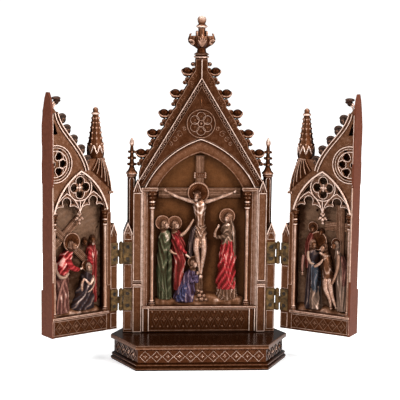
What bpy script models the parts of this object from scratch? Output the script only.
"""Gothic triptych: a cast altar piece for a desk, with two hinged wings on a stepped foot.

Units are metres and +Z is up. The origin is the middle of the foot's underside, and the front
looks along -Y. Castings are drawn in panel terms: u is sideways from the middle of the panel
(or outwards from the hinge axis on a wing), d is forwards from the flat face that carries the
hinges, and z is the height above the table.
"""

import math

import bmesh
import bpy
from mathutils import Vector

# Overall

TOTAL_HEIGHT = 0.300
CLEARANCE = 0.0003

# Stepped foot, a hexagon drawn out sideways

BASE_HEIGHT = 0.0223
BASE_TIP_X = 0.0778
BASE_CORNER_X = 0.0570
BASE_HALF_DEPTH = 0.0428
BASE_PLATE_THICKNESS = 0.0040
BASE_MOULDING_HEIGHT = 0.0065
BASE_DIE_INSET = 0.0030
LOZENGE_RELIEF = 0.0006
LOZENGE_GAP = 0.0006
BASE_LOZENGE_PITCH = 0.00975

# Centre panel

PANEL_HALF_WIDTH = 0.0670
PANEL_THICKNESS = 0.0180
BUTTRESS_WIDTH = 0.0086
BUTTRESS_TOP_Z = 0.1210
PILASTER_WIDTH = 0.0078
PILASTER_RELIEF = 0.0016
PAD_RELIEF = 0.0010
PILASTER_TOP_Z = 0.1585
PLINTH_TOP_Z = 0.0660
GABLET_RISE = 0.0100
SPLAY_WIDTH = 0.0062
SPLAY_DEPTH = 0.0045
SILL_TOP_Z = 0.0460
SILL_THICKNESS = 0.0024
SILL_RELIEF = 0.0012
NICHE_DEPTH = 0.0110
COLUMN_RADIUS = 0.0014
ARCH_SPRING_Z = 0.1512
ARCH_OUTER_APEX_Z = 0.1944
ARCH_INNER_APEX_Z = 0.1846
ARCH_BAND_WIDTH = 0.0118
ARCH_BULGE = 0.104
GABLE_APEX_Z = 0.2475
GABLE_FOOT_Z = 0.1585
GABLE_BAND = 0.0044
ROSETTE_RADIUS = 0.0126
CROCKET_COUNT = 5
CROCKET_RADIUS = 0.0041
CROCKET_REACH = 0.0165
CROCKET_FIRST_RISE = 0.0072
CROCKET_STEP = 0.0174
PINNACLE_RADIUS = 0.0048
PINNACLE_TOP_Z = 0.1945
FINIAL_HEIGHT = 0.0380
FINIAL_RADIUS = 0.0120
CENTRE_FRIEZE_COUNT = 8

# Wings

WING_THICKNESS = 0.0150
WING_FOOT_EXTRA = 0.0034
WING_BOTTOM_GAP = 0.0040
WING_MEETING_GAP = 0.0004
WING_REST_ANGLE = math.radians(32.5)
WING_SILL_Z = 0.0440
WING_SPRING_Z = 0.1340
WING_ARCH_APEX_Z = 0.1680
WING_NICHE_DEPTH = 0.0090
WING_GABLE_FOOT_Z = 0.1690
WING_GABLE_TOP_Z = 0.2200
WING_TOP_Z = 0.2365
WING_SPIRE_TOP_Z = 0.2220
WING_ROSETTE_RADIUS = 0.0167
WING_CROCKET_RADIUS = 0.0034
TRACERY_BAR = 0.0013
WING_PIER_WIDTH = 0.0086
WING_STYLE_WIDTH = 0.0030
WING_STEP_IN = 0.0062
WING_SPIRE_RADIUS = 0.0076
WING_FRIEZE_COUNT = 6

# Butt hinges and their screws

HINGE_HEIGHT = 0.0190
HINGE_UPPER_Z = 0.0940
HINGE_LOWER_Z = 0.0524
HINGE_STANDOFF = 0.0022
HINGE_EDGE_GAP = 0.0022
HINGE_AXIS_Y = 0.0015
LEAF_WIDTH = 0.0074
LEAF_THICKNESS = 0.0009
BARREL_RADIUS = 0.0019
PIN_RADIUS = 0.00085
KNUCKLE_COUNT = 3
SCREW_SPACING = 0.0107
SCREW_HEAD_RADIUS = 0.0017
SCREW_SHANK_RADIUS = 0.0008
SCREW_LENGTH = 0.0055

# Faces that lie within this angle of each other are one flat face

FLAT_ANGLE = math.radians(0.1)

# The sculptor's grid: squares between the sill and the springing of the arch

CENTRE_GRID_ROWS = 105
WING_GRID_ROWS = 90

# Values worked out from the sizes above

HINGE_AXIS_X = PANEL_HALF_WIDTH + BARREL_RADIUS + CLEARANCE / 2
PANEL_FACE_Y = HINGE_AXIS_Y + HINGE_STANDOFF
PANEL_BOTTOM_Z = BASE_HEIGHT + CLEARANCE
WING_WIDTH = HINGE_AXIS_X - WING_MEETING_GAP / 2
WING_BOTTOM_Z = BASE_HEIGHT + WING_BOTTOM_GAP
PILASTER_OUTER = PANEL_HALF_WIDTH - BUTTRESS_WIDTH + CLEARANCE
PILASTER_INNER = PILASTER_OUTER - PILASTER_WIDTH
SPLAY_INNER = PILASTER_INNER - SPLAY_WIDTH
NICHE_HALF_WIDTH = SPLAY_INNER - 2.9 * COLUMN_RADIUS
COLUMN_X = SPLAY_INNER - 2.1 * COLUMN_RADIUS
ARCH_OUTER_HALF = PILASTER_INNER - 1.6 * COLUMN_RADIUS
ARCH_INNER_HALF = ARCH_OUTER_HALF - ARCH_BAND_WIDTH
GABLE_FOOT_X = PILASTER_INNER + PILASTER_WIDTH / 3
GABLE_SLOPE = (GABLE_APEX_Z - GABLE_FOOT_Z) / GABLE_FOOT_X
FINIAL_FOOT_Z = TOTAL_HEIGHT - FINIAL_HEIGHT


def material(name, colour, metallic, roughness):
    """A Principled material of one colour."""
    made = bpy.data.materials.new(name)
    made.use_nodes = True
    shader = made.node_tree.nodes["Principled BSDF"]
    shader.inputs["Base Color"].default_value = (*colour, 1.0)
    shader.inputs["Metallic"].default_value = metallic
    shader.inputs["Roughness"].default_value = roughness
    made.diffuse_color = (*colour, 1.0)
    return made


def mesh_object(name, points, faces):
    """An object of one closed mesh, its faces turned outwards."""
    mesh = bpy.data.meshes.new(name)
    mesh.from_pydata(points, [], faces)
    shell = bmesh.new()
    shell.from_mesh(mesh)
    bmesh.ops.recalc_face_normals(shell, faces=shell.faces)
    shell.to_mesh(mesh)
    shell.free()
    made = bpy.data.objects.new(name, mesh)
    bpy.context.scene.collection.objects.link(made)
    return made


def boolean(target, operation, tools):
    """Joins the tools to the target, or cuts them from it, with the exact solver."""
    if not tools:
        return
    group = bpy.data.collections.new("tools")
    bpy.context.scene.collection.children.link(group)
    for tool in tools:
        group.objects.link(tool)
    step = target.modifiers.new(operation, "BOOLEAN")
    step.operation = operation
    step.operand_type = "COLLECTION"
    step.collection = group
    step.solver = "EXACT"
    graph = bpy.context.evaluated_depsgraph_get()
    result = bpy.data.meshes.new_from_object(target.evaluated_get(graph))
    target.modifiers.clear()
    target.data = result
    for tool in tools:
        bpy.data.objects.remove(tool)
    bpy.data.collections.remove(group)


def arc(start, end, bulge, steps):
    """Points along the circular arc from start to end, bulging to the left of the way by bulge times
    the chord; the end point is left out."""
    chord = Vector(end) - Vector(start)
    if abs(bulge) < 1e-6:
        return [tuple(Vector(start) + chord * (k / steps)) for k in range(steps)]
    half = 2 * math.atan(2 * abs(bulge))
    radius = chord.length / (2 * math.sin(half))
    along = chord.normalized()
    left = Vector((-along.y, along.x)) * math.copysign(1, bulge)
    middle = Vector(start) + chord / 2 - left * radius * math.cos(half)
    points = []
    for k in range(steps):
        angle = half * (2 * k / steps - 1)
        points.append(tuple(middle + along * radius * math.sin(angle) + left * radius * math.cos(angle)))
    return points


def pointed_arch(centre, half, spring, apex, steps=5, bulge=ARCH_BULGE):
    """Outline of a pointed arch, from its left springing over the apex to its right one."""
    left = arc((centre - half, spring), (centre, apex), bulge, steps)
    right = arc((centre, apex), (centre + half, spring), bulge, steps)
    return left + right + [(centre + half, spring)]


def regular(centre, radius, sides, start=0.0):
    """Corners of a regular polygon around a centre."""
    return [
        (
            centre[0] + radius * math.cos(start + 2 * math.pi * k / sides),
            centre[1] + radius * math.sin(start + 2 * math.pi * k / sides),
        )
        for k in range(sides)
    ]


class Casting:
    """Collects the solids of one casting in panel terms, joins them and cuts its hollows."""

    def __init__(self, name, side=1):
        self.name = name
        self.side = side
        self.parts = []
        self.cutters = []
        self.solid = None

    def loft(self, rings, cut=False):
        """A closed skin over rings of equally many (u, d, z) points, capped at both ends."""
        count = len(rings[0])
        points = [(self.side * u, -d, z) for ring in rings for u, d, z in ring]
        faces = [tuple(range(count)), tuple(range(len(points) - count, len(points)))]
        for row in range(len(rings) - 1):
            low = row * count
            for k in range(count):
                following = (k + 1) % count
                faces.append((low + k, low + following, low + count + following, low + count + k))
        made = mesh_object(self.name, points, faces)
        (self.cutters if cut else self.parts).append(made)

    def slab(self, outline, back, front, cut=False):
        """A flat piece: an outline of (u, z) points from the depth back to the depth front."""
        self.loft([[(u, d, z) for u, z in outline] for d in (back, front)], cut)

    def block(self, left, right, low, high, back, front, cut=False):
        """A rectangular piece."""
        self.slab([(left, low), (right, low), (right, high), (left, high)], back, front, cut)

    def turned(self, u, d, profile, sides=8):
        """A piece turned about an upright axis at (u, d), from a profile of (radius, z)."""
        turn = math.pi / sides
        rings = [[(p, q, z) for p, q in regular((u, d), radius, sides, turn)] for radius, z in profile]
        self.loft(rings)

    def limb(self, path, radii, sides=6):
        """A tapering round bar along a path of (u, d, z) points."""
        rings = []
        points = [Vector(p) for p in path]
        for k, centre in enumerate(points):
            along = points[min(k + 1, len(points) - 1)] - points[max(k - 1, 0)]
            across = along.cross(Vector((0, 1, 0)))
            if across.length < 1e-9:
                across = Vector((1, 0, 0))
            across.normalize()
            over = along.cross(across).normalized()
            ring = [centre + across * p + over * q for p, q in regular((0, 0), radii[k], sides)]
            rings.append([tuple(p) for p in ring])
        self.loft(rings)

    def ball(self, centre, radii, sides=8, rows=4):
        """An ellipsoid about a centre (u, d, z), its poles at the top and the bottom."""
        u, d, z = centre
        rings = []
        for row in range(rows):
            angle = math.pi * (row + 0.5) / rows
            reach = math.sin(angle)
            spots = regular((0, 0), reach, sides, math.pi / sides)
            height = z - radii[2] * math.cos(angle)
            rings.append([(u + radii[0] * p, d + radii[1] * q, height) for p, q in spots])
        self.loft(rings)

    def fuse(self):
        """Joins what has been collected to the solid, and then makes the cuts collected."""
        if self.solid is None:
            self.solid = self.parts.pop(0)
        boolean(self.solid, "UNION", self.parts)
        boolean(self.solid, "DIFFERENCE", self.cutters)
        self.parts = []
        self.cutters = []

    def finish(self, finish, parent=None, place=(0, 0, 0)):
        """Names the finished solid, gives it its material and puts it in its place."""
        self.fuse()
        shell = bmesh.new()
        shell.from_mesh(self.solid.data)
        bmesh.ops.dissolve_limit(shell, angle_limit=FLAT_ANGLE, verts=shell.verts, edges=shell.edges)
        shell.to_mesh(self.solid.data)
        shell.free()
        self.solid.name = self.name
        self.solid.data.name = self.name
        self.solid.data.materials.clear()
        self.solid.data.materials.append(finish)
        self.solid.parent = parent
        self.solid.location = place
        return self.solid


# Reliefs: figures drawn on the sculptor's grid, which starts at the middle of the sill

class Relief:
    """Places figures on a grid of squares, from the floor of a niche forwards."""

    def __init__(self, casting, origin_u, origin_z, square, floor):
        self.casting = casting
        self.u = origin_u
        self.z = origin_z
        self.square = square
        self.floor = floor

    def spot(self, column, row, depth):
        """The panel point of a grid column and row, so many squares in front of the floor."""
        square = self.square
        return (self.u + column * square, self.floor + depth * square, self.z + row * square)

    def robe(self, sections, folds=3, depth=7.0, fold=0.10):
        """A draped body grown from the floor, through sections of (column, row, half width), with
        upright folds; depth is how far it stands out, in squares."""
        rings = []
        count = 2 * folds
        for column, row, half in sections:
            thick = min(depth, 2 + half) * self.square
            left = self.spot(column - half, row, -1)
            right = self.spot(column + half, row, -1)
            ring = [left, right]
            for k in range(count + 1):
                angle = math.pi * k / count
                swell = 1 + fold * (-1) ** k
                u, d, z = self.spot(column + half * swell * math.cos(angle), row, 0)
                ring.append((u, d + thick * (0.45 + 0.55 * swell * math.sin(angle)), z))
            rings.append(ring)
        self.casting.loft(rings)

    def head(self, column, row, depth=4.2, radius=3.0, halo=0.0, halo_shift=(0, 1.2)):
        """A head with its hair, and the disc of a halo behind it."""
        square = self.square
        u, d, z = self.spot(column, row, depth)
        self.casting.ball((u, d, z), (radius * square, radius * square, 1.25 * radius * square), 5, 3)
        if not halo:
            neck = [self.spot(column + p, row + q, -1) for p, q in ((-1.6, -3), (1.6, -3), (0, 2))]
            self.casting.loft([neck, [(p, d, r) for p, q, r in neck]])
        else:
            centre = self.spot(column + halo_shift[0], row + halo_shift[1], 0)
            disc = regular((centre[0], centre[2]), halo * square, 8)
            self.casting.slab(disc, self.floor - square, d - radius * square * 0.5)

    def arm(self, path, radii=(1.9, 1.6, 1.1)):
        """A sleeve and hand through grid points (column, row, depth)."""
        self.casting.limb([self.spot(*p) for p in path], [r * self.square for r in radii], 4)

    def bar(self, outline, depth):
        """A flat timber with an outline on the grid."""
        points = [(self.u + column * self.square, self.z + row * self.square) for column, row in outline]
        self.casting.slab(points, self.floor - self.square, self.floor + depth * self.square)

    def ground(self, half, heights, depth):
        """A broken rocky ground across the niche, with one height for each step."""
        count = len(heights) - 1
        outline = [(-half + 2 * half * k / count, heights[k]) for k in range(len(heights))]
        self.bar([(-half, -1)] + outline + [(half, -1)], depth)


def crucifixion(relief):
    """The centre relief: the cross, the figure on it and four mourners."""
    relief.bar([(-3.6, -1), (3.6, -1), (3.4, 132.8), (-3.4, 132.8)], 2.4)
    relief.bar([(-36, 95.6), (36, 95.6), (36, 104.0), (-36, 104.0)], 2.0)
    relief.ground(39, (5, 7, 6, 9, 12, 9, 7, 8, 6), 5.5)
    torso = [(0.8, 46, 4.6), (0.8, 62, 5.8), (0.7, 70, 4.6), (-0.5, 90, 6.2), (-0.9, 95.5, 2.2)]
    relief.robe(torso, 2, 7.0, 0.04)
    relief.robe([(-7.6, 46, 1.6), (-4.0, 68, 2.2)], 2, 5.0, 0.08)
    relief.arm([(-1.6, 54, 4.6), (0.2, 31, 6.0), (3.0, 9, 4.4)], (2.7, 2.0, 1.4))
    relief.arm([(3.6, 54, 4.2), (4.6, 31, 5.2), (4.6, 10, 4.2)], (2.7, 2.0, 1.4))
    for way, hand in ((-1, (-29.3, 101.8)), (1, (29.6, 99.9))):
        relief.arm([(way * 5.0, 92.5, 4.0), (way * 17.0, 96.2, 3.6), (*hand, 3.2)], (2.0, 1.5, 1.1))
    relief.head(-2.4, 98.4, 5.2, 3.1, 9.6, (1.2, 1.4))
    green = [(-30.5, 4, 6.6), (-31.4, 36, 5.6), (-30.4, 64, 5.0), (-30.2, 68, 2.2)]
    relief.robe(green)
    relief.head(-30.0, 71.4, 4.6, 3.0, 6.1, (-2.2, 1.4))
    relief.arm([(-28, 60, 5.6), (-24.5, 51, 7.0), (-20.3, 47.0, 7.2)])
    red = [(-18.5, 14, 4.0), (-17.6, 40, 6.2), (-19.2, 61, 5.2), (-20.4, 67.2, 2.2)]
    relief.robe(red, 2)
    relief.head(-21.0, 71.4, 4.8, 3.0, 5.8, (-0.8, 1.4))
    relief.arm([(-16, 61, 5.4), (-10.4, 66.5, 5.0), (-4.8, 76, 4.6)], (2.0, 1.5, 1.0))
    relief.arm([(-15.5, 59, 6.0), (-13.6, 49.5, 7.0), (-8.6, 44, 6.2)])
    kneeling = [(-11.6, 3, 10.2), (-11.6, 12, 9.6), (-9.6, 24, 6.2), (-6.2, 32.4, 2.6)]
    relief.robe(kneeling, 3, 8.0)
    relief.head(-4.4, 36.6, 5.8, 2.9, 4.8, (-0.6, 1.0))
    relief.arm([(-6.4, 28, 6.4), (-3.4, 21.5, 7.4), (-0.6, 29, 6.6)], (1.9, 1.5, 1.0))
    right = [(25.0, 4, 10.0), (25.0, 44, 8.2), (25.4, 60, 5.6), (25.0, 69, 5.6), (24.8, 74, 2.2)]
    relief.robe(right, 4, 7.4)
    relief.head(24.6, 78.0, 4.8, 3.1, 7.0, (0.3, 1.0))
    relief.arm([(20.6, 69, 5.0), (13.0, 61.5, 6.0), (16.4, 71.0, 6.2)], (2.1, 1.6, 1.0))


def carrying_of_the_cross(relief):
    """The left relief: the cross shouldered, a standing man and a kneeling woman."""
    relief.ground(25, (3, 4, 5, 4, 5, 4, 3), 4.5)
    relief.bar([(25.5, 75.2), (21.5, 80), (-12.0, 47.6), (-7.6, 43.4)], 2.6)
    relief.bar([(-4.8, 80.4), (1.2, 84.2), (26.0, 61.8), (22.6, 56.0)], 1.8)
    bent = [(15.2, 1.4, 8.4), (15.8, 35, 7.0), (12.2, 49.3, 6.2), (6.6, 57.2, 2.4)]
    relief.robe(bent, 3, 6.4)
    relief.head(4.4, 60.4, 5.0, 3.2, 8.0, (1.2, 3.0))
    relief.arm([(11.1, 46.2, 6.2), (5.6, 40.5, 7.2), (-0.6, 38.6, 6.2)])
    relief.robe([(-14.8, 12, 5.6), (-15.3, 55, 5.0), (-15.6, 60, 2.2)], 2, 5.6)
    relief.head(-15.6, 63.6, 4.4, 3.0)
    relief.head(-8.2, 62.0, 3.4, 2.9)
    kneeling = [(-6.4, 2, 11.0), (-6.6, 9, 10.6), (-8.4, 23, 6.8), (-9.9, 36.3, 2.2)]
    relief.robe(kneeling, 3, 7.4)
    relief.head(-10.4, 40.2, 5.4, 2.9, 5.2, (0.4, 1.0))
    relief.arm([(-6.4, 31, 6.0), (-2.0, 26, 7.0), (2.4, 33, 6.0)], (1.8, 1.4, 1.0))


def descent_from_the_cross(relief):
    """The right relief: the taking down from the cross, with five figures."""
    relief.ground(25, (3, 5, 4, 5, 4, 4, 3), 4.5)
    relief.bar([(11.0, 30), (18.6, 30), (18.8, 96), (11.2, 96)], 2.4)
    relief.bar([(0.6, 73.2), (24.5, 73.2), (24.5, 80.8), (0.6, 80.8)], 1.8)
    relief.robe([(-13.6, 40, 5.0), (-13.6, 62, 5.4), (-12.2, 69, 2.2)], 2, 5.0)
    relief.head(-10.6, 73.4, 3.8, 2.9, 4.6, (0, 1.0))
    relief.head(-3.2, 70.4, 3.4, 2.6)
    blue = [(-10.4, 1, 8.6), (-9.2, 30, 6.4), (-9.2, 50, 5.0), (-9.6, 56, 2.2)]
    relief.robe(blue, 3, 7.0)
    relief.head(-8.6, 60.0, 5.6, 3.0, 8.2, (3.6, 2.4))
    relief.arm([(-6.0, 49, 6.4), (-3.2, 43.5, 7.2), (1.6, 47.0, 6.0)], (1.8, 1.4, 1.0))
    body = [(5.6, 24, 5.0), (5.2, 40, 5.0), (4.2, 54, 3.2)]
    relief.robe(body, 2, 7.0, 0.05)
    relief.head(3.2, 58.4, 5.6, 2.8)
    relief.arm([(7.4, 30, 5.6), (10.6, 17, 6.0), (14.0, 5, 4.4)], (2.4, 1.8, 1.2))
    relief.arm([(3.8, 30, 5.8), (7.4, 16, 7.0), (8.6, 5, 4.8)], (2.4, 1.8, 1.2))
    bearer = [(17.2, 3, 6.0), (17.6, 30, 6.6), (15.2, 50, 5.0), (13.0, 56, 2.2)]
    relief.robe(bearer, 2, 6.2)
    relief.head(11.6, 60.6, 5.0, 3.0, 4.4, (0.6, 1.8))


# Foot

def hexagon(inset):
    """Corners of the foot's plan, drawn in by a distance on every side."""
    oblique = math.hypot(BASE_TIP_X - BASE_CORNER_X, BASE_HALF_DEPTH)
    tip = BASE_TIP_X - inset * oblique / BASE_HALF_DEPTH
    half = BASE_HALF_DEPTH - inset
    corner = tip - half * (BASE_TIP_X - BASE_CORNER_X) / BASE_HALF_DEPTH
    return [(tip, 0), (corner, half), (-corner, half), (-tip, 0), (-corner, -half), (corner, -half)]


def build_base(finish):
    """The stepped foot: two rounds, an upright die with a row of lozenges, and a top plate."""
    foot = Casting("base")
    round_height = BASE_MOULDING_HEIGHT / 2
    plate_low = BASE_HEIGHT - BASE_PLATE_THICKNESS
    lip = BASE_DIE_INSET / 4
    profile = [(lip, 0), (0, round_height * 0.3), (0, round_height * 0.8), (lip, round_height)]
    profile += [(lip, round_height * 1.6), (BASE_DIE_INSET, BASE_MOULDING_HEIGHT)]
    profile += [(BASE_DIE_INSET, plate_low - lip), (lip / 2, plate_low), (0, plate_low + lip)]
    profile += [(0, BASE_HEIGHT - lip / 2), (lip / 2, BASE_HEIGHT)]
    foot.loft([[(x, d, z) for x, d in hexagon(inset)] for inset, z in profile])
    die_low = BASE_MOULDING_HEIGHT
    die_high = plate_low - lip
    half_height = (die_high - die_low) / 2 - LOZENGE_GAP
    middle = (die_low + die_high) / 2
    corners = hexagon(BASE_DIE_INSET)
    for start, end in ((3, 2), (2, 1), (1, 0)):
        lozenge_row(foot, corners[start], corners[end], middle, half_height)
    return foot.finish(finish)


def lozenge_row(foot, start, end, middle, half_height):
    """Raised lozenges along one face of the die, as many as fit at their pitch."""
    start = Vector(start)
    run = Vector(end) - start
    along = run.normalized()
    out = Vector((-along.y, along.x))
    count = max(1, int((run.length - BASE_DIE_INSET) / BASE_LOZENGE_PITCH))
    half_width = BASE_LOZENGE_PITCH / 2 - LOZENGE_GAP / 2
    for k in range(count):
        centre = start + run / 2 + along * (k - (count - 1) / 2) * BASE_LOZENGE_PITCH
        rings = []
        for depth, share in ((-LOZENGE_RELIEF, 1.1), (LOZENGE_RELIEF, 0.8)):
            ring = []
            for p, q in ((1, 0), (0, 1), (-1, 0), (0, -1)):
                spot = centre + along * p * half_width * share + out * depth
                ring.append((spot.x, spot.y, middle + q * half_height * share))
            rings.append(ring)
        foot.loft(rings)


# Centre panel

def rake(z):
    """Half width of the gable's outer line at a height."""
    return (GABLE_APEX_Z - z) / GABLE_SLOPE


def crocket_spots():
    """Centres (u, z) of the crocket balls up one side of the gable, from the top."""
    top = GABLE_APEX_Z + CROCKET_FIRST_RISE
    return [
        (CROCKET_REACH + rake(top - k * CROCKET_STEP) * 0.94, top - k * CROCKET_STEP)
        for k in range(CROCKET_COUNT)
    ]


def gable_plate():
    """Outline of the plate behind the gable: a stepped edge from crocket to crocket."""
    spots = crocket_spots()
    half = [(GABLE_FOOT_X, GABLE_FOOT_Z - GABLET_RISE)]
    for u, z in reversed(spots):
        shoulder = u - CROCKET_RADIUS
        half.append((u + CROCKET_RADIUS * 0.3, z - CROCKET_STEP * 0.55))
        half.append((shoulder, z - CROCKET_RADIUS * 0.2))
    half.append((FINIAL_RADIUS * 0.45, FINIAL_FOOT_Z))
    return [(-u, z) for u, z in reversed(half)] + half


def chevron(apex, foot_z, inset, width):
    """Outline of a raking band parallel to the gable, lying inset below its outer line."""
    slant = math.hypot(1, 1 / GABLE_SLOPE) * GABLE_SLOPE
    upper = apex - inset * slant
    lower = upper - width * slant
    outer_u = (upper - foot_z) / GABLE_SLOPE
    inner_u = (lower - foot_z) / GABLE_SLOPE
    outline = [(-outer_u, foot_z), (0, upper), (outer_u, foot_z)]
    return outline + [(inner_u, foot_z), (0, lower), (-inner_u, foot_z)]


def pinnacle(casting, u, d):
    """A slender eight-sided pinnacle with tiers of crockets and a pointed bud."""
    low = BUTTRESS_TOP_Z - GABLET_RISE
    eaves = PINNACLE_TOP_Z - 0.0315
    r = PINNACLE_RADIUS
    profile = [(0.86 * r, low), (0.86 * r, eaves - 0.003), (1.12 * r, eaves), (0.9 * r, eaves + 0.003)]
    for tier in range(3):
        foot = eaves + 0.0065 + tier * 0.0055
        shrink = 1 - 0.1 * tier
        profile += [(0.52 * r * shrink, foot), (0.95 * r * shrink, foot + 0.0018)]
    profile += [(0.40 * r, PINNACLE_TOP_Z - 0.0065), (0.56 * r, PINNACLE_TOP_Z - 0.0045)]
    profile += [(0.14 * r, PINNACLE_TOP_Z)]
    casting.turned(u, d, profile, 6)


def column(casting, u, d, low, spring, radius):
    """A slim column with a moulded foot, a ring and a bell capital under its springing."""
    profile = [(2.0 * radius, low), (radius, low + 3.6 * radius), (radius, spring - 12.5 * radius)]
    profile += [(1.7 * radius, spring - 11.0 * radius), (radius, spring - 9.5 * radius)]
    profile += [(2.2 * radius, spring - 1.5 * radius)]
    casting.turned(u, d, profile, 6)


def finial(casting, u, d):
    """The turned finial with its four-leaved knot, from the gable's tip to the top ball."""
    low = FINIAL_FOOT_Z
    h = FINIAL_HEIGHT
    r = FINIAL_RADIUS
    profile = [(0.52 * r, low - 0.04 * h), (0.64 * r, low + 0.08 * h), (0.64 * r, low + 0.12 * h)]
    profile += [(0.35 * r, low + 0.17 * h), (0.42 * r, low + 0.42 * h), (0.26 * r, low + 0.70 * h)]
    profile += [(0.42 * r, low + 0.75 * h), (0.42 * r, low + 0.78 * h), (0.25 * r, low + 0.84 * h)]
    profile += [(0.33 * r, low + 0.92 * h), (0.10 * r, low + h)]
    casting.turned(u, d, profile, 7)
    knot = low + 0.44 * h
    for p, q in ((1, 0), (-1, 0), (0, 1), (0, -1)):
        spot = (u + p * 0.62 * r, d + q * 0.45 * r, knot)
        casting.ball(spot, (0.37 * r if p else 0.26 * r, 0.34 * r if q else 0.26 * r, 0.13 * h), 6, 3)


def crocket(casting, u, d, z, radius, way):
    """A crocket: a ball in a cupped leaf, with a smaller leaf below it."""
    casting.ball((u, d, z), (radius, radius * 0.95, radius * 0.85), 6, 3)
    cup = (u - way * radius * 1.1, d, z - radius * 0.75)
    casting.ball(cup, (radius * 1.5, radius * 0.9, radius * 0.8), 5, 2)


def screw_holes(casting, along):
    """Holes for the hinge screws, in the flat face beside the hinge axis."""
    reach = HINGE_STANDOFF + SCREW_LENGTH + 2 * CLEARANCE
    for level in (HINGE_UPPER_Z, HINGE_LOWER_Z):
        for way in (-1, 1):
            spot = (along, level + way * SCREW_SPACING / 2)
            hole = regular(spot, SCREW_SHANK_RADIUS + 1.5 * CLEARANCE, 6)
            casting.slab(hole, -reach, HINGE_STANDOFF, cut=True)


def build_centre(finish):
    """The centre panel, one casting: frame, gable, pinnacles, niche and relief."""
    panel = Casting("centre_panel")
    low = PANEL_BOTTOM_Z
    back = -PANEL_THICKNESS
    panel.block(-PILASTER_OUTER, PILASTER_OUTER, low, PILASTER_TOP_Z - GABLET_RISE / 2, back, -CLEARANCE)
    for way in (-1, 1):
        inner = way * (PILASTER_OUTER - CLEARANCE * 2)
        outer = way * PANEL_HALF_WIDTH
        shoulder = BUTTRESS_TOP_Z - GABLET_RISE
        middle = (inner + outer) / 2
        strip = [(inner, low), (outer, low), (outer, shoulder), (middle, BUTTRESS_TOP_Z), (inner, shoulder)]
        panel.slab(strip, back + CLEARANCE, 0)
        inner = way * PILASTER_INNER
        outer = way * PILASTER_OUTER
        shoulder = PILASTER_TOP_Z - GABLET_RISE
        middle = (inner + outer) / 2
        shaft = [(inner, low), (outer, low), (outer, shoulder), (middle, PILASTER_TOP_Z), (inner, shoulder)]
        panel.slab(shaft, back / 2, PILASTER_RELIEF * 0.75)
        lip = PILASTER_WIDTH / 16
        panel.block(inner - way * lip, outer + way * CLEARANCE, low, PLINTH_TOP_Z, back / 2, PILASTER_RELIEF)
        pinnacle(panel, way * (PILASTER_OUTER + PINNACLE_RADIUS * 0.2), back * 0.45)
    panel.slab(gable_plate(), back * 0.72, back * 0.16)
    panel.fuse()
    cut_niche(panel)
    panel.fuse()
    dress_gable(panel)
    dress_niche(panel)
    hang_hinges_on_panel(panel)
    square = (ARCH_SPRING_Z - SILL_TOP_Z) / CENTRE_GRID_ROWS
    crucifixion(Relief(panel, 0.0, SILL_TOP_Z, square, -NICHE_DEPTH))
    panel.fuse()
    return panel.finish(finish, place=(0, PANEL_FACE_Y, 0))


def cut_niche(panel):
    """Cuts the splayed sides, the hollow arch band and the recess behind them."""
    beyond = PILASTER_RELIEF * 2
    plan = [(PILASTER_INNER, beyond), (PILASTER_INNER, 0), (SPLAY_INNER, -SPLAY_DEPTH)]
    plan += [(NICHE_HALF_WIDTH, -SPLAY_DEPTH), (NICHE_HALF_WIDTH, -NICHE_DEPTH)]
    plan += [(-u, d) for u, d in reversed(plan)]
    bottom = SILL_TOP_Z - CLEARANCE
    panel.loft([[(u, d, z) for u, d in plan] for z in (bottom, ARCH_SPRING_Z)], cut=True)
    outer = (ARCH_OUTER_HALF, ARCH_OUTER_APEX_Z)
    inner = (ARCH_INNER_HALF, ARCH_INNER_APEX_Z)
    stations = [(0, beyond), (0, -SPLAY_DEPTH * 0.35), (0.45, -SPLAY_DEPTH), (1, -SPLAY_DEPTH * 1.3)]
    stations.append((1, -NICHE_DEPTH))
    rings = []
    for share, d in stations:
        half = outer[0] + (inner[0] - outer[0]) * share
        apex = outer[1] + (inner[1] - outer[1]) * share
        outline = pointed_arch(0.0, half, ARCH_SPRING_Z - CLEARANCE, apex)
        rings.append([(u, d, z) for u, z in outline])
    panel.loft(rings, cut=True)


def dress_gable(panel):
    """Adds the raking bands, the rosette, the crockets and the finial to the gable."""
    back = -PANEL_THICKNESS
    face = back * 0.16
    foot = GABLE_FOOT_Z - GABLET_RISE * 0.4
    rib = GABLE_BAND * 0.22
    panel.slab(chevron(GABLE_APEX_Z, foot, 0, GABLE_BAND), face * 2, face * 0.3)
    for inset in (-rib / 2, GABLE_BAND - rib / 2):
        ridge = chevron(GABLE_APEX_Z, foot + CLEARANCE, inset, rib)
        panel.slab(ridge, face * 2.2, PILASTER_RELIEF * 0.3)
    centre = (0, ARCH_OUTER_APEX_Z + ROSETTE_RADIUS * 1.03)
    panel.slab(regular(centre, ROSETTE_RADIUS, 16), face * 1.9, face * 0.55)
    for spot in regular(centre, ROSETTE_RADIUS * 0.58, 6, math.pi / 6):
        panel.slab(regular(spot, ROSETTE_RADIUS * 0.27, 6), face * 2, face * 0.3)
    panel.slab(regular(centre, ROSETTE_RADIUS * 0.25, 6), face * 2, face * 0.3)
    for way in (-1, 1):
        for u, z in crocket_spots():
            crocket(panel, way * u, back * 0.44, z, CROCKET_RADIUS, way)
    finial(panel, 0, back * 0.44)
    panel.fuse()


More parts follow.
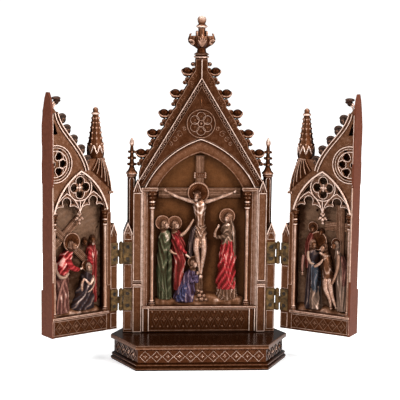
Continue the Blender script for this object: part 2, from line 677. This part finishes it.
def dress_niche(panel):
    """Adds the columns, their abaci, the sill and the frieze below it."""
    for way in (-1, 1):
        foot = SILL_TOP_Z - CLEARANCE
        column(panel, way * COLUMN_X, -SPLAY_DEPTH * 0.75, foot, ARCH_SPRING_Z, COLUMN_RADIUS)
        left, right = sorted((way * ARCH_INNER_HALF, way * (PILASTER_INNER - CLEARANCE)))
        top = ARCH_SPRING_Z + CLEARANCE
        panel.block(left, right, top - 1.8 * COLUMN_RADIUS, top, -NICHE_DEPTH - CLEARANCE, -CLEARANCE * 2)
        for u in (SPLAY_INNER, PILASTER_INNER - COLUMN_RADIUS):
            edge = way * u
            half = COLUMN_RADIUS * 0.6
            bottom = PANEL_BOTTOM_Z + SILL_RELIEF
            top = SILL_TOP_Z - SILL_THICKNESS / 2
            panel.block(edge - half, edge + half, bottom, top, -SILL_RELIEF, SILL_RELIEF * 0.8)
    top = SILL_TOP_Z
    reach = PILASTER_INNER - CLEARANCE / 2
    panel.block(-reach, reach, top - SILL_THICKNESS, top, -NICHE_DEPTH - CLEARANCE, SILL_RELIEF)
    centre_z = (PANEL_BOTTOM_Z + top - SILL_THICKNESS) / 2
    half_height = (top - SILL_THICKNESS - PANEL_BOTTOM_Z) / 2 - 4 * LOZENGE_GAP
    pitch = 2 * (SPLAY_INNER - 2 * COLUMN_RADIUS) / CENTRE_FRIEZE_COUNT
    for k in range(CENTRE_FRIEZE_COUNT):
        u = (k - (CENTRE_FRIEZE_COUNT - 1) / 2) * pitch
        raised_lozenge(panel, u, centre_z, pitch / 2 - LOZENGE_GAP / 2, half_height)


def raised_lozenge(casting, u, z, half_width, half_height, face=0.0):
    """One raised lozenge on a flat face."""
    rings = []
    for d, share in ((face - LOZENGE_RELIEF, 1.1), (face + LOZENGE_RELIEF, 0.8)):
        spots = ((1, 0), (0, 1), (-1, 0), (0, -1))
        rings.append([(u + p * half_width * share, d, z + q * half_height * share) for p, q in spots])
    casting.loft(rings)


def hang_hinges_on_panel(panel):
    """Raised pads between the hinges, and the screw holes of the fixed leaves."""
    for way in (-1, 1):
        middle = way * (PANEL_HALF_WIDTH - BUTTRESS_WIDTH / 2)
        wide = BUTTRESS_WIDTH / 2 - 3 * CLEARANCE
        for low, high in hinge_gaps(PANEL_BOTTOM_Z):
            panel.block(middle - wide, middle + wide, low, high, -PILASTER_RELIEF, PAD_RELIEF)
        screw_holes(panel, way * (HINGE_AXIS_X - screw_reach()))


def hinge_gaps(bottom):
    """Heights of the two raised pads: below the lower hinge and between the hinges."""
    half = HINGE_HEIGHT / 2 + 2 * CLEARANCE
    return (bottom + half / 4, HINGE_LOWER_Z - half), (HINGE_LOWER_Z + half, HINGE_UPPER_Z - half)


# Wings

def gable_curve(steps=8):
    """The wing's half gable: an S curve from its foot up to the free edge, as (u, z) points."""
    foot = Vector((WING_WIDTH * 0.485, WING_GABLE_FOOT_Z))
    tip = Vector((WING_WIDTH * 0.925, WING_GABLE_TOP_Z))
    rise = tip.y - foot.y
    first = foot + Vector((WING_WIDTH * 0.075, rise * 0.42))
    second = tip - Vector((WING_WIDTH * 0.045, rise * 0.34))
    points = []
    for k in range(steps + 1):
        t = k / steps
        s = 1 - t
        points.append(tuple(foot * s ** 3 + first * 3 * s * s * t + second * 3 * s * t * t + tip * t ** 3))
    return points


def offset_curve(curve, distance):
    """The curve moved to its left by a distance."""
    moved = []
    for k, point in enumerate(curve):
        along = Vector(curve[min(k + 1, len(curve) - 1)]) - Vector(curve[max(k - 1, 0)])
        along.normalize()
        moved.append((point[0] - along.y * distance, point[1] + along.x * distance))
    return moved


def build_wing(name, side, scene, finish, hinge):
    """One wing, a single casting in the terms of its hinge axis, with its relief."""
    wing = Casting(name, side)
    inner = HINGE_EDGE_GAP
    outer = WING_WIDTH
    low = WING_BOTTOM_Z
    face = -HINGE_STANDOFF
    back = face - WING_THICKNESS
    pier = inner + WING_PIER_WIDTH
    middle = (pier + outer) / 2
    curve = gable_curve()
    spire_u = middle * 0.53
    eaves_z = WING_SPRING_Z + 1.5 * GABLET_RISE
    ridge_z = WING_GABLE_FOOT_Z + GABLET_RISE
    stem = FINIAL_RADIUS * 0.28
    outline = [(inner, low), (outer, low), (outer, WING_TOP_Z - stem / 2), (outer - stem * 0.6, WING_TOP_Z)]
    outline += [(outer - stem, WING_GABLE_TOP_Z + 1.7 * stem)]
    outline += list(reversed(offset_curve(curve, WING_CROCKET_RADIUS * 0.5)))
    outline += [(spire_u + WING_SPIRE_RADIUS * 0.9, ridge_z), (spire_u - WING_SPIRE_RADIUS * 0.8, ridge_z)]
    outline += [(inner + WING_STEP_IN, eaves_z), (inner + WING_STEP_IN, BUTTRESS_TOP_Z - GABLET_RISE * 0.4)]
    outline += [(inner + WING_STEP_IN * 0.65, BUTTRESS_TOP_Z), (inner, BUTTRESS_TOP_Z - GABLET_RISE)]
    wing.slab(outline, back, face)
    foot_step = [(inner + CLEARANCE, low + CLEARANCE), (outer - CLEARANCE, low + CLEARANCE)]
    foot_step += [(outer - CLEARANCE, PLINTH_TOP_Z), (inner + CLEARANCE, PLINTH_TOP_Z)]
    wing.slab(foot_step, back - WING_FOOT_EXTRA, back + WING_FOOT_EXTRA)
    wing.fuse()
    niche_half = (outer - pier) / 2 - WING_STYLE_WIDTH
    opening = [(middle + niche_half, WING_SILL_Z), (middle - niche_half, WING_SILL_Z)]
    opening += pointed_arch(middle, niche_half, WING_SPRING_Z, WING_ARCH_APEX_Z)
    floor = face - WING_NICHE_DEPTH
    wing.slab(opening, floor, 0, cut=True)
    wing.fuse()
    wing.parts.append(tracery(side, middle, niche_half, face))
    dress_wing_gable(wing, curve, face, back)
    spire(wing, spire_u, face, back)
    radius = COLUMN_RADIUS * 0.8
    for way in (-1, 1):
        u = middle + way * (niche_half + radius / 2)
        column(wing, u, face - radius * 0.75, WING_SILL_Z - CLEARANCE, WING_SPRING_Z, radius)
    dress_wing_foot(wing, middle, niche_half, face)
    screw_holes(wing, screw_reach())
    square = (WING_SPRING_Z - WING_SILL_Z) / WING_GRID_ROWS
    scene(Relief(wing, middle, WING_SILL_Z, square, floor))
    wing.fuse()
    wing.finish(finish, hinge)


def tracery(side, middle, niche_half, face):
    """The pierced head of the wing's niche: a quatrefoil over two pointed lights."""
    plate = Casting("tracery", side)
    low = WING_SPRING_Z - 1.5 * TRACERY_BAR
    head = pointed_arch(middle, niche_half + CLEARANCE, WING_SPRING_Z, WING_ARCH_APEX_Z + CLEARANCE)
    outline = [(middle + niche_half + CLEARANCE, low), (middle - niche_half - CLEARANCE, low)] + head
    back = face - 2.8 * TRACERY_BAR
    plate.slab(outline, back, face - TRACERY_BAR)
    leaf = niche_half / 6
    drop = [(middle - leaf, low + CLEARANCE), (middle, low - 1.5 * leaf), (middle + leaf, low + CLEARANCE)]
    plate.slab(drop, back + CLEARANCE, face - TRACERY_BAR / 2)
    rise = WING_ARCH_APEX_Z - WING_SPRING_Z
    foil = (middle, WING_SPRING_Z + rise * 0.60)
    for spot in regular(foil, rise * 0.145, 4):
        plate.slab(regular(spot, rise * 0.105, 6), back - TRACERY_BAR, face, cut=True)
    light = niche_half / 2 - 2 * TRACERY_BAR
    for way in (-1, 1):
        centre = middle + way * (niche_half / 2 + TRACERY_BAR * 0.4)
        opening = pointed_arch(centre, light, WING_SPRING_Z + CLEARANCE, WING_SPRING_Z + rise * 0.47, 3)
        opening += [(centre + light, low - TRACERY_BAR), (centre - light, low - TRACERY_BAR)]
        plate.slab(opening, back - TRACERY_BAR, face, cut=True)
    plate.fuse()
    return plate.solid


def dress_wing_gable(wing, curve, face, back):
    """Adds the S-shaped rib, the crockets, half a rosette and half a finial."""
    rib = offset_curve(curve, -TRACERY_BAR) + list(reversed(offset_curve(curve, TRACERY_BAR * 0.4)))
    wing.slab(rib, face - 2 * TRACERY_BAR, face + PAD_RELIEF)
    spots = offset_curve(gable_curve(CROCKET_COUNT), WING_CROCKET_RADIUS * 1.1)
    middle_depth = (face + back) / 2
    ball_depth = face - WING_CROCKET_RADIUS
    for u, z in spots[:-1]:
        crocket(wing, u, ball_depth, z + WING_CROCKET_RADIUS * 0.8, WING_CROCKET_RADIUS, -1)
    size = FINIAL_RADIUS / 3
    leaf = (WING_WIDTH - size * 1.25, middle_depth + size / 2, WING_TOP_Z - size * 1.4)
    wing.ball(leaf, (size, size * 1.1, size * 1.05), 6, 4)
    rosette_z = WING_ARCH_APEX_Z + WING_ROSETTE_RADIUS / 2
    centre = (WING_WIDTH - WING_ROSETTE_RADIUS * 0.24, rosette_z)
    for k in (2, 3, 4):
        angle = math.pi * k / 3
        spot = (
            centre[0] + WING_ROSETTE_RADIUS * 0.5 * math.cos(angle),
            centre[1] + WING_ROSETTE_RADIUS * 0.5 * math.sin(angle),
        )
        hole = regular(spot, WING_ROSETTE_RADIUS * 0.2, 6)
        wing.slab(hole, face - 2 * TRACERY_BAR, face + 2 * TRACERY_BAR, cut=True)


def spire(wing, u, face, back):
    """The spire beside the gable: gablets round its foot, a taper, a ring and a ball."""
    depth = (face + back) / 2
    top = WING_SPIRE_TOP_Z
    foot = WING_GABLE_FOOT_Z
    rise = top - foot
    radius = WING_SPIRE_RADIUS
    profile = [(radius, foot), (radius, foot + rise * 0.22), (radius * 0.95, foot + rise * 0.36)]
    profile += [(radius * 0.80, foot + rise * 0.40), (radius * 0.36, top - rise * 0.135)]
    profile += [(radius * 0.54, top - rise * 0.11), (radius * 0.54, top - rise * 0.085)]
    profile += [(radius * 0.24, top - rise * 0.065), (radius * 0.28, top - rise * 0.03), (radius * 0.08, top)]
    wing.turned(u, depth, profile, 6)


def dress_wing_foot(wing, middle, niche_half, face):
    """Adds the sill, the frieze of lozenges, the pads by the hinges and the edge strip."""
    top = WING_SILL_Z
    reach = niche_half + 2 * COLUMN_RADIUS
    root = face - PILASTER_RELIEF
    wing.block(middle - reach, middle + reach, top - SILL_THICKNESS, top, root, face + SILL_RELIEF)
    low = WING_BOTTOM_Z
    rail = SILL_THICKNESS * 0.8
    wing.block(middle - reach, middle + reach, low + rail / 4, low + rail, root, face + SILL_RELIEF)
    centre_z = (low + rail + top - SILL_THICKNESS) / 2
    half_height = (top - SILL_THICKNESS - low - rail) / 2 - LOZENGE_GAP * 3
    pitch = 2 * (niche_half - COLUMN_RADIUS) / WING_FRIEZE_COUNT
    for k in range(WING_FRIEZE_COUNT):
        u = middle + (k - (WING_FRIEZE_COUNT - 1) / 2) * pitch
        raised_lozenge(wing, u, centre_z, pitch / 2 - LOZENGE_GAP, half_height, face)
    inner = HINGE_EDGE_GAP + 2 * CLEARANCE
    outer = HINGE_EDGE_GAP + BUTTRESS_WIDTH - 2 * CLEARANCE
    for pad_low, pad_high in hinge_gaps(low):
        wing.block(inner, outer, pad_low, pad_high, root, face + PAD_RELIEF)
    edge = WING_WIDTH - CLEARANCE
    strip = edge - WING_STYLE_WIDTH / 2
    wing.block(strip, edge, low + CLEARANCE * 2, PLINTH_TOP_Z, root, face + SILL_RELIEF)


# Hinges

def screw_reach():
    """Distance of the screws from the hinge axis."""
    return HINGE_EDGE_GAP + LEAF_WIDTH / 2


def build_leaf(name, side, fixed, finish, parent, place):
    """A hinge leaf: a plate with countersunk holes, and its own knuckles round the pin."""
    leaf = Casting(name, side)
    back = -HINGE_STANDOFF + CLEARANCE
    front = back + LEAF_THICKNESS
    half = HINGE_HEIGHT / 2
    leaf.block(HINGE_EDGE_GAP, HINGE_EDGE_GAP + LEAF_WIDTH, -half, half, back, front)
    pitch = HINGE_HEIGHT / KNUCKLE_COUNT
    for k in range(KNUCKLE_COUNT):
        if (k % 2 == 0) != fixed:
            continue
        low = -half + k * pitch + CLEARANCE / 2
        high = low + pitch - CLEARANCE
        root = HINGE_EDGE_GAP + CLEARANCE
        barrel = regular((0, 0), BARREL_RADIUS, 8)
        curl = [point for point in barrel if point[0] < PIN_RADIUS or point[1] > 0]
        core = (front + back) / 2
        knuckle = curl + [(0, back), (root, back), (root, core), (BARREL_RADIUS, core)]
        knuckle.sort(key=lambda point: math.atan2(point[1], point[0]))
        leaf.loft([[(u, d, z) for u, d in knuckle] for z in (low, high)])
    leaf.fuse()
    bore = regular((0, 0), PIN_RADIUS + CLEARANCE, 6)
    leaf.loft([[(u, d, z) for u, d in bore] for z in (-half - CLEARANCE, half + CLEARANCE)], cut=True)
    for way in (-1, 1):
        spot = (screw_reach(), way * SCREW_SPACING / 2)
        rings = []
        for depth, radius in ((back - CLEARANCE, 0.6), (back, 0.6), (front, 1.0), (front + CLEARANCE, 1.0)):
            reach = SCREW_HEAD_RADIUS * radius + CLEARANCE
            rings.append([(u, depth, z) for u, z in regular(spot, reach, 6)])
        leaf.loft(rings, cut=True)
    return leaf.finish(finish, parent, place)


def build_pin(name, finish, parent, place):
    """The hinge pin, with a small head at its top."""
    pin = Casting(name)
    half = HINGE_HEIGHT / 2 + CLEARANCE
    head = PIN_RADIUS * 0.8
    profile = [(PIN_RADIUS, -half), (PIN_RADIUS, half), (PIN_RADIUS * 1.7, half)]
    profile += [(PIN_RADIUS * 1.4, half + head)]
    pin.turned(0, 0, profile, 6)
    return pin.finish(finish, parent, place)


def build_screw(name, side, finish, parent, place):
    """A countersunk screw, lying along the depth of the casting."""
    screw = Casting(name, side)
    back = -HINGE_STANDOFF + CLEARANCE
    front = back + LEAF_THICKNESS
    shank = SCREW_SHANK_RADIUS
    rings = []
    for depth, radius in ((back - SCREW_LENGTH, shank * 0.6), (back, shank), (front, SCREW_HEAD_RADIUS)):
        rings.append([(u, depth, z) for u, z in regular((0, 0), radius, 6)])
    screw.loft(rings)
    return screw.finish(finish, parent, place)


def build_hinge(tag, side, level, wing_hinge, centre_hinge, brass, steel):
    """One butt hinge: the leaf on the panel, the leaf on the wing, the pin and four screws."""
    name = f"hinge_{tag}"
    build_leaf(f"{name}_fixed_leaf", -side, True, brass, centre_hinge, (0, 0, level))
    build_leaf(f"{name}_wing_leaf", side, False, brass, wing_hinge, (0, 0, level))
    build_pin(f"{name}_pin", brass, centre_hinge, (0, 0, level))
    for leaf, way, parent in (("fixed", -side, centre_hinge), ("wing", side, wing_hinge)):
        for end, z in (("lower", -SCREW_SPACING / 2), ("upper", SCREW_SPACING / 2)):
            place = (way * screw_reach(), 0, level + z)
            build_screw(f"{name}_{leaf}_screw_{end}", way, steel, parent, place)


def axis_empty(name, side, angle):
    """An empty on a hinge axis, turned by the wing's opening."""
    made = bpy.data.objects.new(name, None)
    bpy.context.scene.collection.objects.link(made)
    made.location = (side * HINGE_AXIS_X, HINGE_AXIS_Y, 0)
    made.rotation_euler = (0, 0, -side * angle)
    return made


def main():
    """Clears the scene and builds every piece."""
    for old in list(bpy.data.objects):
        bpy.data.objects.remove(old)
    bronze = material("bronze_resin", (0.16, 0.075, 0.045), 0.55, 0.42)
    brass = material("aged_brass", (0.33, 0.22, 0.07), 0.9, 0.4)
    steel = material("dark_screw", (0.045, 0.03, 0.025), 0.8, 0.5)
    build_base(bronze)
    build_centre(bronze)
    for word, side, scene in (("left", -1, carrying_of_the_cross), ("right", 1, descent_from_the_cross)):
        wing_hinge = axis_empty(f"{word}_wing_axis", side, WING_REST_ANGLE)
        centre_hinge = axis_empty(f"{word}_panel_axis", side, 0.0)
        build_wing(f"{word}_wing", side, scene, bronze, wing_hinge)
        for place, level in (("upper", HINGE_UPPER_Z), ("lower", HINGE_LOWER_Z)):
            build_hinge(f"{word}_{place}", side, level, wing_hinge, centre_hinge, brass, steel)


main()
